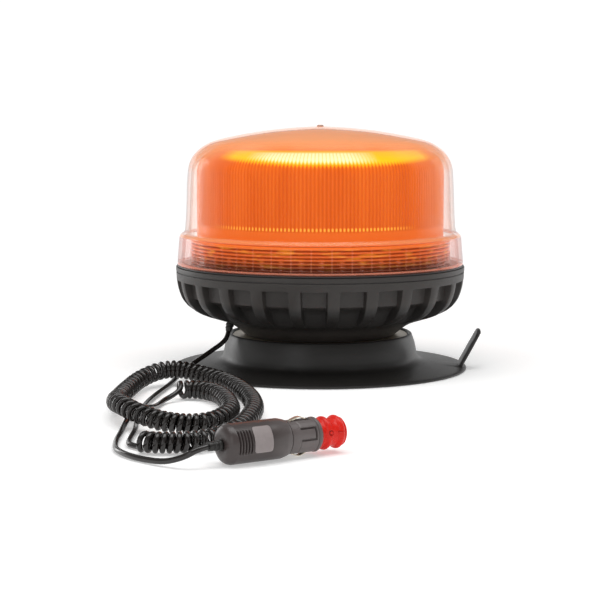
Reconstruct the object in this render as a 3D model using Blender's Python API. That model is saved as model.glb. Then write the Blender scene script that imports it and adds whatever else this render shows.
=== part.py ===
"""Amber LED warning beacon on a magnetic suction base, with a curly cord and a 12 V plug.

Metres, +Z up. The origin is the centre of the magnet's flat underside, and +Z is the lamp's axis.
"""
import math

import bmesh
import bpy
import numpy as np
from mathutils import Matrix, Vector

MM = 0.001
GAP = 0.3                    # clearance between neighbouring solids, mm

# Driving dimensions, mm
LAMP_R = 105.0               # widest radius: the ribbed bowl
LAMP_TOP = 176.0             # apex of the clear dome
LENS_WALL = 2.5
INNER_R = 89.6               # amber fluted lens
INNER_WALL = 2.2
PRISM_TOP = 94.8             # top of the amber prism ring, which the amber lens stands on
SEAM_Z = 75.2                # where the lens gasket sits
BOWL_RIBS = 24
RIB_HALF_ANGLE = 2.3         # degrees, half the width of one rib
RIB_DRAFT_ANGLE = 0.5        # degrees that a rib's side takes
RIB_PHASE = 4.6              # degrees that the front rib lies right of -Y
NECK_R = 55.0
NECK_FOOT_Z = 25.1
PLATE_TOP = 24.7             # zinc-plated plate, recessed in the rubber drum
SKIRT_R = 107.0
DRUM_R = 65.1                # rubber drum at its top lip
BORE_R = 5.3                 # clearance for the centre bolt
MAGNET_R = 50.0

TAB_AZIMUTH = -4.0           # degrees from +X
TAB_ROOT_R = 102.6
TAB_ROOT_Z = 3.3             # flex line, just above the skirt
TAB_LENGTH = 29.0
TAB_WIDTH = 17.0
TAB_THICK = 2.8
TAB_LEAN = 28.5              # degrees outwards from upright

LED_COUNT = 8
LED_CIRCLE_R = 74.0
LED_PHASE = 22.5             # degrees from +X to the first of them
POST_COUNT = 3
POST_CIRCLE_R = 42.0
DRIVER_CIRCLE_R = 26.0
POST_PHASE = 30.0
POST_BORE_R = 2.3
SPACER_BORE_R = 1.9
FLOOR_Z = 29.5               # the bowl's floor, inside

PLUG_REAR = (-57.0, -369.0)  # centre of the plug's rear end, on the floor plan
PLUG_YAW = 34.0              # degrees from +X
PLUG_BODY_R = 11.2
PLUG_NOSE_R = 9.5
PLUG_STEP = 40.0             # where the body steps down to the nose
PLUG_NOSE_END = 61.0
PLUG_TIP = 78.0

WIRE_R = 1.7
CURL_R = 6.3                 # outer radius of the curly stretch
GLAND_BASE = (-64.8, -24.3, 35.4)
GLAND_TIP = (-66.2, -26.4, 29.6)

# The cord's route, mm: lamp to curls, along the curls' centre line, and curls to plug
LEAD_ROUTE = [
    GLAND_TIP, (-67.5, -28.6, 24.9), (-71.2, -31.4, 21.0), (-76.8, -35.4, 17.4), (-83.7, -42, 13.2),
    (-91.2, -52, 9.2), (-97, -64, 6.0), (-101, -80, 3.0), (-104.5, -103, 1.8), (-109, -136, 1.8),
    (-112.5, -168, 1.8), (-114, -202, 1.8), (-113.5, -238, 1.8), (-111.8, -270, 1.8),
    (-112, -294, 1.8), (-112.3, -309, 2.3), (-111.6, -319, 3.4), (-109.3, -326.4, 4.9),
    (-105.6, -330.7, 6.0),
]
CURL_ROUTE = [
    (-103, -332.1, 6.4), (-93, -335.5, 6.4), (-76, -333, 6.4), (-61, -319, 6.4),
    (-50.5, -291, 6.4), (-45, -255, 6.4), (-43, -220, 6.4), (-46.5, -181, 6.4),
    (-55, -142, 6.4), (-67, -110, 6.6), (-81, -95, 8.2), (-97, -89, 11.0), (-111, -93, 10.4),
    (-122, -112, 7.8), (-127.5, -145, 6.4), (-129.5, -180, 6.8), (-128.5, -215, 9.6),
    (-122.5, -244, 12.4), (-110.5, -264, 10.6), (-96, -274, 7.8), (-82, -277, 6.6),
    (-69, -271, 6.4), (-61, -253, 6.4), (-57.5, -226, 6.4), (-60.5, -196, 6.4),
    (-66.5, -170, 6.4), (-76, -152.5, 6.4), (-86, -147.2, 6.4), (-93.5, -149.4, 6.4),
]
TAIL_ROUTE = [
    (-96.2, -151.0, 5.9), (-100.2, -155.4, 4.6), (-103, -165, 2.6), (-105, -180, 1.8),
    (-107, -195, 2.8), (-109.5, -208, 4.8), (-113.5, -221, 5.6), (-117.8, -236, 4.6),
    (-119.5, -255, 2.2), (-119.5, -281, 1.8), (-119.5, -306, 1.8), (-117, -330, 1.8),
    (-109, -348, 1.8), (-98, -361, 1.8), (-87, -370.5, 2.8), (-77, -376.5, 6.2),
    (-70, -377.2, 9.8), (-64.4, -374.0, 11.2),
]


def look(name, colour, roughness, metallic=0.0, transmission=0.0):
    """A Principled material; the same name gives the same material."""
    found = bpy.data.materials.get(name)
    if found:
        return found
    made = bpy.data.materials.new(name)
    made.use_nodes = True
    shader = made.node_tree.nodes["Principled BSDF"]
    shader.inputs["Base Color"].default_value = (*colour, 1.0)
    shader.inputs["Roughness"].default_value = roughness
    shader.inputs["Metallic"].default_value = metallic
    shader.inputs["Transmission Weight"].default_value = transmission
    return made


def clear_polycarbonate():
    return look("clear_polycarbonate", (0.95, 0.86, 0.80), 0.05, transmission=0.95)


def amber_polycarbonate():
    return look("amber_polycarbonate", (0.85, 0.20, 0.02), 0.2, transmission=0.4)


def black_casting():
    return look("black_casting", (0.035, 0.034, 0.036), 0.55)


def black_rubber():
    return look("black_rubber", (0.03, 0.028, 0.027), 0.75)


def zinc_plate():
    return look("zinc_plate", (0.58, 0.53, 0.45), 0.4, metallic=0.8)


def steel():
    return look("steel", (0.55, 0.55, 0.57), 0.35, metallic=1.0)


def magnet_ferrite():
    return look("magnet_ferrite", (0.08, 0.08, 0.085), 0.6)


def aluminium():
    return look("aluminium", (0.75, 0.76, 0.78), 0.35, metallic=1.0)


def bright_reflector():
    return look("bright_reflector", (0.9, 0.9, 0.9), 0.1, metallic=1.0)


def circuit_board():
    return look("circuit_board", (0.02, 0.16, 0.07), 0.45)


def led_yellow():
    return look("led_yellow", (0.95, 0.75, 0.2), 0.3)


def plug_plastic():
    return look("plug_plastic", (0.06, 0.05, 0.05), 0.5)


def pad_grey():
    return look("pad_grey", (0.28, 0.25, 0.25), 0.6)


def red_plastic():
    return look("red_plastic", (0.75, 0.03, 0.02), 0.35)


def spring_brass():
    return look("spring_brass", (0.72, 0.60, 0.38), 0.3, metallic=1.0)


def fuse_glass():
    return look("fuse_glass", (0.8, 0.85, 0.85), 0.1, transmission=0.8)


def cord_jacket():
    return look("cord_jacket", (0.02, 0.017, 0.016), 0.35)


def empty_scene():
    for thing in list(bpy.data.objects):
        bpy.data.objects.remove(thing)


def add_piece(name, mesh_work, material, sharp_angle=35.0):
    """Turn a bmesh in millimetres into a named object in metres."""
    bmesh.ops.scale(mesh_work, vec=(MM, MM, MM), verts=mesh_work.verts)
    bmesh.ops.recalc_face_normals(mesh_work, faces=mesh_work.faces)
    mesh = bpy.data.meshes.new(name)
    mesh_work.to_mesh(mesh)
    mesh_work.free()
    mesh.shade_smooth()
    mesh.set_sharp_from_angle(angle=math.radians(sharp_angle))
    mesh.materials.append(material)
    piece = bpy.data.objects.new(name, mesh)
    bpy.context.scene.collection.objects.link(piece)
    return piece


def turned_mesh(outline, segments):
    """Spin an outline of (radius, height) round +Z. One that doesn't end on the axis is closed."""
    work = bmesh.new()
    corners = [work.verts.new((radius, 0.0, height)) for radius, height in outline]
    runs = list(zip(corners, corners[1:]))
    if outline[0][0] > 0 or outline[-1][0] > 0:
        runs.append((corners[-1], corners[0]))
    edges = [work.edges.new(run) for run in runs]
    bmesh.ops.spin(work, geom=corners + edges, cent=(0, 0, 0), axis=(0, 0, 1), dvec=(0, 0, 0),
                   angle=math.tau, steps=segments, use_merge=True, use_duplicate=False)
    bmesh.ops.remove_doubles(work, verts=work.verts, dist=1e-4)
    bmesh.ops.dissolve_degenerate(work, dist=1e-5, edges=work.edges)
    return work


def turned(name, outline, material, segments=36):
    return add_piece(name, turned_mesh(outline, segments), material)


def disc(name, radius, low, high, material, segments=36, bore=0.0):
    outline = [(bore, high), (radius, high), (radius, low), (bore, low)]
    return turned(name, outline, material, segments)


def inset_outline(outline, wall):
    """The outline of (radius, height) points moved inwards by the wall, in reverse order."""
    inner = []
    for index, (radius, height) in enumerate(outline):
        before = outline[max(index - 1, 0)]
        after = outline[min(index + 1, len(outline) - 1)]
        run = Vector((after[0] - before[0], after[1] - before[1])).normalized()
        inner.append((max(radius + run.y * wall, 0.0), height - run.x * wall))
    return inner[::-1]


def block(name, size, centre, material, bevel=0.0):
    work = bmesh.new()
    bmesh.ops.create_cube(work, size=1.0)
    bmesh.ops.scale(work, vec=size, verts=work.verts)
    if bevel:
        bmesh.ops.bevel(work, geom=work.edges, offset=bevel, segments=2, affect="EDGES", profile=0.5)
    bmesh.ops.translate(work, vec=centre, verts=work.verts)
    return add_piece(name, work, material)


def combine(piece, tools, operation):
    """Join pieces to an object, or cut them out of it, with exact Booleans."""
    for tool in tools:
        step = piece.modifiers.new(tool.name, "BOOLEAN")
        step.operation = operation
        step.solver = "EXACT"
        step.object = tool
        tool.hide_render = True
        tool.display_type = "WIRE"
    return piece


def round_the_axis(count, phase=0.0):
    return [phase + 360.0 * index / count for index in range(count)]


def turn_about_z(degrees):
    return Matrix.Rotation(math.radians(degrees), 4, "Z")


# ---- lamp head -------------------------------------------------------------------------------

def arc(centre, radius, start, end, count):
    """Points on an arc in the outline plane, angles in degrees from +R towards +Z."""
    angles = [math.radians(start + (end - start) * i / (count - 1)) for i in range(count)]
    return [(centre[0] + radius * math.cos(a), centre[1] + radius * math.sin(a)) for a in angles]


def outer_lens():
    """Clear dome with a wider foot flange and a small moulding nub at its apex."""
    foot_z = SEAM_Z + 1.3
    dome = [(LAMP_R - 1.0, foot_z), (103.2, 88.0), (102.4, 96.6), (100.9, 98.6), (98.5, 100.8),
            (97.5, 112.0), (96.5, 139.0), (95.2, 148.6), (91.2, 156.2), (84.4, 161.9), (76.0, 165.5),
            (59.0, 168.9), (35.0, 172.7), (0.0, LAMP_TOP)]
    lens = turned("outer_lens", dome + inset_outline(dome, -LENS_WALL), clear_polycarbonate(), 40)
    nub_outline = [(0, LAMP_TOP + 0.9), (1.5, LAMP_TOP + 0.7), (2.2, LAMP_TOP), (2.2, LAMP_TOP - 0.9),
                   (0, LAMP_TOP - 0.9)]
    nub = turned("outer_lens_nub", nub_outline, clear_polycarbonate(), 10)
    return combine(lens, [nub], "UNION")


def inner_lens():
    """Amber lens that throws the light sideways; it stands on the prism ring."""
    shoulder_r = 15.0
    wall = [(INNER_R, PRISM_TOP + GAP), (INNER_R, 143.5)]
    wall += arc((INNER_R - shoulder_r, 143.5), shoulder_r, 18.0, 66.0, 3)
    wall += [(74.0, 161.4), (59.0, 165.2), (35.0, 169.0), (0.0, 172.4)]
    return turned("inner_lens", wall + inset_outline(wall, -INNER_WALL), amber_polycarbonate())


def prism_ring():
    """Amber ring behind the lens flange, with stepped prisms round its outside."""
    low, steps = 77.2, 7
    root_r, edge_r = 93.0, 94.7
    inside_r = INNER_R - INNER_WALL - GAP
    rise = (PRISM_TOP - low) / steps
    outline = [(inside_r, PRISM_TOP), (INNER_R + 2.4, PRISM_TOP)]
    for step in range(steps):
        top = PRISM_TOP - rise * step
        outline += [(edge_r, top - 0.45 * rise), (root_r, top - rise)]
    outline[-1] = (root_r, low)
    outline.append((inside_r, low))
    return turned("prism_ring", outline, amber_polycarbonate(), 32)


def lens_gasket():
    return disc("lens_gasket", LAMP_R - 0.8, SEAM_Z, SEAM_Z + 1.0, black_rubber(), bore=94.6)


def bowl_rows():
    """Pairs of (radius, height) from the bowl's inner rim, over its outside, to its floor.

    The first of a pair runs along a rib, the second along the slot between two ribs.
    """
    rim = SEAM_Z - GAP
    plain_top = [(95.0, rim), (LAMP_R, rim), (LAMP_R - 0.4, 65.9)]
    ribbed = [((104.5, 65.6), (98.6, 65.3)), ((101.9, 53.8), (97.6, 54.4)),
              ((96.8, 46.4), (91.0, 51.6)), ((89.3, 41.6), (85.2, 43.6))]
    plain_foot = [(81.0, 38.7), (67.2, 34.1), (59.4, 29.2), (NECK_R, NECK_FOOT_Z),
                  (BORE_R, NECK_FOOT_Z), (BORE_R, FLOOR_Z), (48.0, FLOOR_Z), (80.0, 44.0),
                  (93.4, 60.0)]
    rows = [(point, point) for point in plain_top] + ribbed
    return rows + [(point, point) for point in plain_foot]


def housing():
    """Ribbed die-cast bowl and its neck, one hollow casting with a cable hole."""
    work = bmesh.new()
    rows = bowl_rows()
    stations = []
    for middle in round_the_axis(BOWL_RIBS, -90.0 + RIB_PHASE):
        edge = RIB_HALF_ANGLE
        foot = RIB_HALF_ANGLE + RIB_DRAFT_ANGLE
        stations += [(middle - foot, 1), (middle - edge, 0), (middle + edge, 0), (middle + foot, 1)]
    rings = []
    for angle, side in stations:
        turn = math.radians(angle)
        points = [row[side] for row in rows]
        rings.append([work.verts.new((r * math.cos(turn), r * math.sin(turn), z)) for r, z in points])
    for ring, following in zip(rings, rings[1:] + rings[:1]):
        for row in range(len(rows)):
            below = (row + 1) % len(rows)
            work.faces.new((ring[row], ring[below], following[below], following[row]))
    bowl = add_piece("housing", work, black_casting(), 30.0)
    hole = turned("cable_hole", [(0, 9), (3.0, 9), (3.0, -9), (0, -9)], black_casting(), 16)
    hole.matrix_world = cable_frame()
    return combine(bowl, [hole], "DIFFERENCE")


def cable_frame():
    """Origin at the gland's base, local +Z into the bowl along the gland."""
    base = Vector(GLAND_BASE) * MM
    inwards = (Vector(GLAND_BASE) - Vector(GLAND_TIP)).normalized()
    return Matrix.Translation(base) @ inwards.to_track_quat("Z", "Y").to_matrix().to_4x4()


def cable_gland():
    """Tapered rubber sleeve that the cord leaves the bowl through, plugged into its hole."""
    length = (Vector(GLAND_BASE) - Vector(GLAND_TIP)).length - 2 * GAP
    outline = [(0, 4.5), (2.6, 4.5), (2.6, -0.6), (3.0, -1.4), (2.8, -3.6), (2.3, -length),
               (0, -length)]
    sleeve = turned("cable_gland", outline, black_rubber(), 12)
    sleeve.matrix_world = cable_frame()
    return sleeve


def carrier_plate():
    """Aluminium plate across the bowl's mouth: it carries the LEDs and takes their heat."""
    plate = disc("carrier_plate", 93.6, 70.5, 73.5, aluminium(), bore=8.0)
    return combine(plate, post_holes(POST_CIRCLE_R, POST_BORE_R, 68.0, 76.0, "plate_hole"), "DIFFERENCE")


def post_holes(radius, bore, low, high, name):
    holes = []
    for index, angle in enumerate(round_the_axis(POST_COUNT, POST_PHASE)):
        hole = disc(f"{name}_{index + 1}", bore, low, high, steel(), 10)
        hole.location = turn_about_z(angle) @ Vector((radius * MM, 0, 0))
        holes.append(hole)
    return holes


def led_board():
    return disc("led_board", 86.0, 73.8, 75.4, circuit_board(), bore=56.0)


def leds():
    """Light emitters on the ring board: a square base with a small dome."""
    for index, angle in enumerate(round_the_axis(LED_COUNT, LED_PHASE)):
        outline = [(0, 79.4), (1.8, 78.9), (2.7, 77.4), (3.6, 77.4), (3.6, 75.7), (0, 75.7)]
        led = turned(f"led_{index + 1}", outline, led_yellow(), 8)
        led.location = turn_about_z(angle) @ Vector((LED_CIRCLE_R * MM, 0, 0))


def reflector():
    """Inverted cone that turns the light outwards; open at the bottom."""
    outside = [(24.0, 74.0), (29.0, 90.0), (46.0, 120.0), (72.0, 147.0), (70.0, 149.0)]
    inside = [(44.0, 121.5), (27.0, 91.0), (22.0, 74.0)]
    return turned("reflector", outside + inside, bright_reflector(), 28)


def posts():
    """Sleeves between the bowl's floor and the carrier plate, each with its screw."""
    for index, angle in enumerate(round_the_axis(POST_COUNT, POST_PHASE)):
        place = turn_about_z(angle) @ Vector((POST_CIRCLE_R * MM, 0, 0))
        post = disc(f"carrier_post_{index + 1}", 4.0, FLOOR_Z + GAP, 70.2, aluminium(), 10, POST_BORE_R)
        post.location = place
        head = [(0, 76.4), (3.8, 75.4), (3.8, 73.8), (1.9, 73.8), (1.9, 58.0), (0, 58.0)]
        screw = turned(f"carrier_screw_{index + 1}", head, steel(), 8)
        screw.location = place


def driver_board():
    """Round control board with its capacitors, coil and chips."""
    board = disc("driver_board", 33.0, 46.0, 47.6, circuit_board(), 24, 7.0)
    parts = [disc("driver_capacitor", 5.0, 47.0, 60.0, circuit_board(), 12),
             disc("driver_coil", 7.0, 47.0, 54.0, circuit_board(), 12),
             block("driver_chip", (9, 9, 3), (-17, -9, 48.5), circuit_board())]
    parts[0].location = (0.021, -0.007, 0)
    parts[1].location = (0, 0.020, 0)
    combine(board, parts, "UNION")
    return combine(board, post_holes(DRIVER_CIRCLE_R, SPACER_BORE_R, 44.0, 50.0, "board_hole"), "DIFFERENCE")


def driver_fixings():
    for index, angle in enumerate(round_the_axis(POST_COUNT, POST_PHASE)):
        place = turn_about_z(angle) @ Vector((DRIVER_CIRCLE_R * MM, 0, 0))
        spacer = disc(f"driver_spacer_{index + 1}", 3.2, FLOOR_Z + GAP, 45.7, plug_plastic(), 8,
                      SPACER_BORE_R)
        spacer.location = place
        outline = [(0, 49.8), (2.9, 49.8), (2.9, 47.9), (1.4, 47.9), (1.4, 38.0), (0, 38.0)]
        screw = turned(f"driver_screw_{index + 1}", outline, steel(), 8)
        screw.location = place


# ---- magnetic base ---------------------------------------------------------------------------

def base_plate():
    """Zinc-plated steel plate that the neck is bolted to."""
    return disc("base_plate", DRUM_R - 1.3, 21.7, PLATE_TOP, zinc_plate(), bore=BORE_R)


def pole_disc():
    return disc("pole_disc", MAGNET_R, 18.3, 21.4, steel(), 28, BORE_R)


def ring_magnet():
    return disc("ring_magnet", MAGNET_R, 3.2, 18.0, magnet_ferrite(), 28, 15.0)


def magnet_face():
    """Steel disc on the magnet's underside: the flat face that grips a vehicle's roof."""
    return disc("magnet_face", MAGNET_R, 0.0, 2.9, zinc_plate(), 32)


def base_drum():
    """Rubber drum round the magnet, with a rounded lip that overhangs the plate's edge."""
    outside = [(64.1, 25.4), (65.8, 25.8), (67.4, 24.0), (69.4, 18.5), (70.6, 11.5), (72.0, 8.0),
               (75.5, 6.0), (75.5, 5.3)]
    inside = [(50.4, 5.3), (50.4, 21.4), (64.1, 21.4)]
    return turned("base_drum", outside + inside, black_rubber())


def suction_skirt():
    """Wide thin rubber skirt whose rim seals on the roof, hollow underneath."""
    top = [(50.4, 5.0), (76.0, 5.0), (106.2, 1.7), (SKIRT_R, 1.1), (SKIRT_R, 0.0)]
    underside = [(98.0, 0.0), (80.0, 1.6), (54.0, 1.6), (52.0, 0.0), (50.4, 0.0)]
    return turned("suction_skirt", top + underside, black_rubber(), 40)


def tab_frame():
    """Origin on the tab's root, local +Z up the tab and local +X outwards through its thickness."""
    lean = Matrix.Rotation(math.radians(TAB_LEAN), 4, "Y")
    root = Matrix.Translation((TAB_ROOT_R * MM, 0, TAB_ROOT_Z * MM))
    return turn_about_z(TAB_AZIMUTH) @ root @ lean


def pull_tab():
    """Rubber strip with a rounded end: pulling it lifts the skirt's edge and lets air in."""
    work = bmesh.new()
    half = TAB_WIDTH / 2
    corner = 6.0
    top = TAB_LENGTH - corner
    outline = [(-half, 0.4)]
    outline += arc((-half + corner, top), corner, 180.0, 90.0, 5)
    outline += arc((half - corner, top), corner, 90.0, 0.0, 5)
    outline.append((half, 0.4))
    verts = [work.verts.new((-TAB_THICK / 2, across, up)) for across, up in outline]
    face = work.faces.new(verts)
    grown = bmesh.ops.extrude_face_region(work, geom=[face])
    moved = [item for item in grown["geom"] if isinstance(item, bmesh.types.BMVert)]
    bmesh.ops.translate(work, vec=(TAB_THICK, 0, 0), verts=moved)
    tab = add_piece("pull_tab", work, black_rubber())
    tab.matrix_world = tab_frame()
    return tab


def centre_bolt():
    """Hexagon bolt up through the base, its washer and its nut inside the bowl."""
    shank = [(0, 39.0), (4.4, 39.0), (4.9, 38.2), (4.9, 9.0), (0, 9.0)]
    bolt = turned("centre_bolt", shank, steel(), 20)
    head = disc("centre_bolt_head", 8.6, 3.5, 10.0, steel(), 6)
    combine(bolt, [head], "UNION")
    disc("centre_washer", 11.0, FLOOR_Z + GAP, 31.4, steel(), 16, BORE_R)
    disc("centre_nut", 8.6, 31.7, 37.2, steel(), 6, 6.0)


# ---- plug ------------------------------------------------------------------------------------

def plug_frame():
    """Origin at the plug's rear end, local +Z to its tip and local +X up."""
    yaw = turn_about_z(PLUG_YAW)
    along = Matrix(((0, 0, 1, 0), (0, -1, 0, 0), (1, 0, 0, 0), (0, 0, 0, 1)))
    return Matrix.Translation(Vector((*PLUG_REAR, PLUG_BODY_R)) * MM) @ yaw @ along


def on_plug(piece):
    piece.matrix_world = plug_frame()
    return piece


def plug_body():
    """Handle of the plug: a hollow shell with a domed rear, a cord hole and grip grooves."""
    outside = [(2.6, 0.0), (6.6, 0.2), (9.6, 1.6), (11.0, 4.2)]
    for groove in range(4):
        start = 5.2 + groove * 2.3
        outside += [(PLUG_BODY_R - 0.2, start), (PLUG_BODY_R - 1.0, start + 0.7),
                    (PLUG_BODY_R - 0.2, start + 1.4)]
    outside += [(PLUG_BODY_R, 14.2), (PLUG_BODY_R, 35.5), (PLUG_NOSE_R + 0.9, PLUG_STEP - 0.5),
                (PLUG_NOSE_R - 0.6, PLUG_STEP)]
    inside = [(7.4, PLUG_STEP), (7.4, 34.0), (9.0, 32.0), (9.0, 6.0), (2.6, 4.0)]
    return on_plug(turned("plug_body", outside + inside, plug_plastic(), 24))


def plug_pad():
    """Blank raised pad on the side of the handle."""
    work = bmesh.new()
    low, high, half_angle, rows = 14.6, 26.2, 38.0, 7
    rings = []
    for radius in (PLUG_BODY_R + GAP, PLUG_BODY_R + 0.9):
        for along in (low, high):
            ring = []
            for step in range(rows):
                angle = math.radians(74.0 - half_angle + 2 * half_angle * step / (rows - 1))
                ring.append(work.verts.new((radius * math.cos(angle), radius * math.sin(angle), along)))
            rings.append(ring)
    inner_low, inner_high, outer_low, outer_high = rings
    for step in range(rows - 1):
        for one, two in ((inner_low, inner_high), (inner_high, outer_high), (outer_high, outer_low),
                         (outer_low, inner_low)):
            work.faces.new((one[step], one[step + 1], two[step + 1], two[step]))
    for end in (0, rows - 1):
        work.faces.new((inner_low[end], inner_high[end], outer_high[end], outer_low[end]))
    return on_plug(add_piece("plug_pad", work, pad_grey()))


def plug_boot():
    """Small tapered sleeve where the cord enters the handle."""
    outline = [(0, 5.0), (2.3, 5.0), (2.3, -0.3), (3.2, -0.3), (3.0, -2.5), (2.4, -8.0), (0, -8.0)]
    return on_plug(turned("plug_boot", outline, black_rubber(), 12))


def plug_nose():
    """Barrel that goes into the vehicle's socket, with two slots for the side contacts."""
    start = PLUG_STEP + GAP
    outside = [(8.0, start), (PLUG_NOSE_R - 0.1, start + 0.4), (PLUG_NOSE_R, start + 7.0),
               (PLUG_NOSE_R - 0.3, start + 7.4), (PLUG_NOSE_R, start + 7.8),
               (PLUG_NOSE_R, PLUG_NOSE_END - 3.4)]
    inside = [(6.4, PLUG_NOSE_END - 3.4), (6.4, start)]
    barrel = turned("plug_nose", outside + inside, plug_plastic(), 24)
    slots = []
    for side in (1, -1):
        slot = block(f"contact_slot_{side}", (6.0, 4.4, 14.0), (side * 8.6, 0, 49.0), plug_plastic())
        slots.append(slot)
    combine(barrel, slots, "DIFFERENCE")
    for slot in slots:
        on_plug(slot)
    return on_plug(barrel)


def plug_end_ring():
    start = PLUG_NOSE_END - 3.4 + GAP
    outline = [(6.4, PLUG_NOSE_END - GAP), (9.0, PLUG_NOSE_END - GAP), (PLUG_NOSE_R + 0.3, start + 1.8),
               (PLUG_NOSE_R + 0.3, start + 0.5), (PLUG_NOSE_R - 0.2, start), (6.4, start)]
    return on_plug(turned("plug_end_ring", outline, plug_plastic(), 24))


def red_adapter():
    """Red sleeve with two swellings; it twists and pulls off the slimmer pin under it."""
    outside = [(6.3, PLUG_NOSE_END), (8.0, PLUG_NOSE_END), (9.1, 64.0), (9.4, 65.8), (9.1, 67.6),
               (7.9, 69.9), (9.1, 72.2), (9.4, 74.0), (9.1, 76.2), (7.6, 77.6), (4.4, PLUG_TIP)]
    inside = [(4.4, 75.2), (6.3, 74.6)]
    return on_plug(turned("red_adapter", outside + inside, red_plastic(), 24))


def pin_barrel():
    """Slim inner pin of the plug; the fuse and the tip contact sit in its bore."""
    outline = [(5.0, 41.0), (5.0, 57.0), (6.0, 58.6), (6.0, 72.6), (5.0, 74.2), (3.0, 74.2),
               (3.0, 71.0), (3.6, 70.6), (3.6, 41.0)]
    return on_plug(turned("pin_barrel", outline, plug_plastic(), 16))


def plug_contacts():
    """Tip contact, the fuse behind it, their spring at its pressed length, and the side contacts."""
    tip = [(0, 77.7), (1.6, 77.4), (2.7, 76.0), (2.7, 70.7), (3.3, 70.3), (3.3, 68.0), (0, 68.0)]
    on_plug(turned("tip_contact", tip, spring_brass(), 12))
    on_plug(disc("contact_spring", 3.3, 41.4, 44.6, steel(), 12, 2.6))
    fuse = [(0, 67.6), (3.1, 67.6), (3.1, 61.0), (2.8, 60.6), (2.8, 54.0), (3.1, 53.6), (3.1, 47.0),
            (0, 47.0)]
    on_plug(turned("fuse", fuse, fuse_glass(), 10))
    for name, side in (("side_contact_upper", 1), ("side_contact_lower", -1)):
        work = bmesh.new()
        bow = [(8.0, 42.7), (9.3, 44.2), (11.0, 48.6), (10.9, 50.6), (9.3, 54.2), (8.0, 55.4)]
        leaf = bow + [(r - 0.9, z) for r, z in bow[::-1]]
        verts = [work.verts.new((side * r, -1.8, z)) for r, z in leaf]
        face = work.faces.new(verts)
        grown = bmesh.ops.extrude_face_region(work, geom=[face])
        moved = [item for item in grown["geom"] if isinstance(item, bmesh.types.BMVert)]
        bmesh.ops.translate(work, vec=(0, 3.6, 0), verts=moved)
        bmesh.ops.triangulate(work, faces=[f for f in work.faces if len(f.verts) > 4])
        on_plug(add_piece(name, work, spring_brass()))


# ---- cord ------------------------------------------------------------------------------------

def smooth_path(route, spacing):
    """Points at an even spacing along a Catmull-Rom curve through the route's points."""
    points = np.array(route, dtype=float)
    points = np.vstack([2 * points[0] - points[1], points, 2 * points[-1] - points[-2]])
    fine = []
    for a, b, c, d in zip(points, points[1:], points[2:], points[3:]):
        for t in np.linspace(0.0, 1.0, 24, endpoint=False):
            fine.append(0.5 * (2 * b + (c - a) * t + (2 * a - 5 * b + 4 * c - d) * t ** 2
                               + (3 * b - a - 3 * c + d) * t ** 3))
    fine.append(points[-2])
    fine = np.array(fine)
    travelled = np.concatenate([[0.0], np.cumsum(np.linalg.norm(np.diff(fine, axis=0), axis=1))])
    stops = np.linspace(0.0, travelled[-1], max(2, round(travelled[-1] / spacing)) + 1)
    return np.stack([np.interp(stops, travelled, fine[:, axis]) for axis in range(3)], axis=1)


def tube(name, route, radius, spacing):
    """A round closed tube along the route, as a bevelled curve with filled caps."""
    points = smooth_path(route, spacing)
    curve = bpy.data.curves.new(name, "CURVE")
    curve.dimensions = "3D"
    curve.bevel_depth = radius * MM
    curve.bevel_resolution = 2
    curve.use_fill_caps = True
    spline = curve.splines.new("POLY")
    spline.points.add(len(points) - 1)
    for point, place in zip(spline.points, points):
        point.co = (*(place * MM), 1.0)
    curve.materials.append(cord_jacket())
    piece = bpy.data.objects.new(name, curve)
    bpy.context.scene.collection.objects.link(piece)
    return piece


def cord():
    tube("cord_lead", LEAD_ROUTE, WIRE_R, 10.0)
    tube("cord_curls", CURL_ROUTE, CURL_R, 20.0)
    tube("cord_tail", TAIL_ROUTE, WIRE_R, 10.0)


def lamp_head():
    outer_lens()
    inner_lens()
    prism_ring()
    lens_gasket()
    housing()
    cable_gland()
    carrier_plate()
    led_board()
    leds()
    reflector()
    posts()
    driver_board()
    driver_fixings()


def magnetic_base():
    base_plate()
    pole_disc()
    ring_magnet()
    magnet_face()
    base_drum()
    suction_skirt()
    pull_tab()
    centre_bolt()


def twelve_volt_plug():
    plug_body()
    plug_pad()
    plug_boot()
    plug_nose()
    plug_end_ring()
    red_adapter()
    pin_barrel()
    plug_contacts()


empty_scene()
lamp_head()
magnetic_base()
twelve_volt_plug()
cord()
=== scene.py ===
"""Looks of an amber LED warning beacon on a magnetic suction base, with a curly cord and a 12 V plug.

Outlines and routes are in millimetres, in the frame's axes or the plug's own; meshes are in metres.
"""
import math

import bmesh
import bpy
import numpy as np
from mathutils import Matrix, Vector


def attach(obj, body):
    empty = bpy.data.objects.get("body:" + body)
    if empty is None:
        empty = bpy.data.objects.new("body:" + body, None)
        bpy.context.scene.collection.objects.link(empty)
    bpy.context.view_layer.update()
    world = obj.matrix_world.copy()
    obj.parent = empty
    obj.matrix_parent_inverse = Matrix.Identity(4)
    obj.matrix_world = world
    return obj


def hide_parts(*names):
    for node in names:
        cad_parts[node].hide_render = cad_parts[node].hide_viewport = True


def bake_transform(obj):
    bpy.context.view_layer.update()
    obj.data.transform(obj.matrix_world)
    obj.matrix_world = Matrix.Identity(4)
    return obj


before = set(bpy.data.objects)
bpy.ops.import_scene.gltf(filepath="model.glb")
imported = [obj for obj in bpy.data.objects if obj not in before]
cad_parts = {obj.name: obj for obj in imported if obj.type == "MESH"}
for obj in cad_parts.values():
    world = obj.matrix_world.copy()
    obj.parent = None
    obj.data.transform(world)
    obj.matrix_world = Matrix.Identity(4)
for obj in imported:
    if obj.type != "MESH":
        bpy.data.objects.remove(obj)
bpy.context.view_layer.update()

MM = 0.001
TAU = 2 * math.pi

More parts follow.
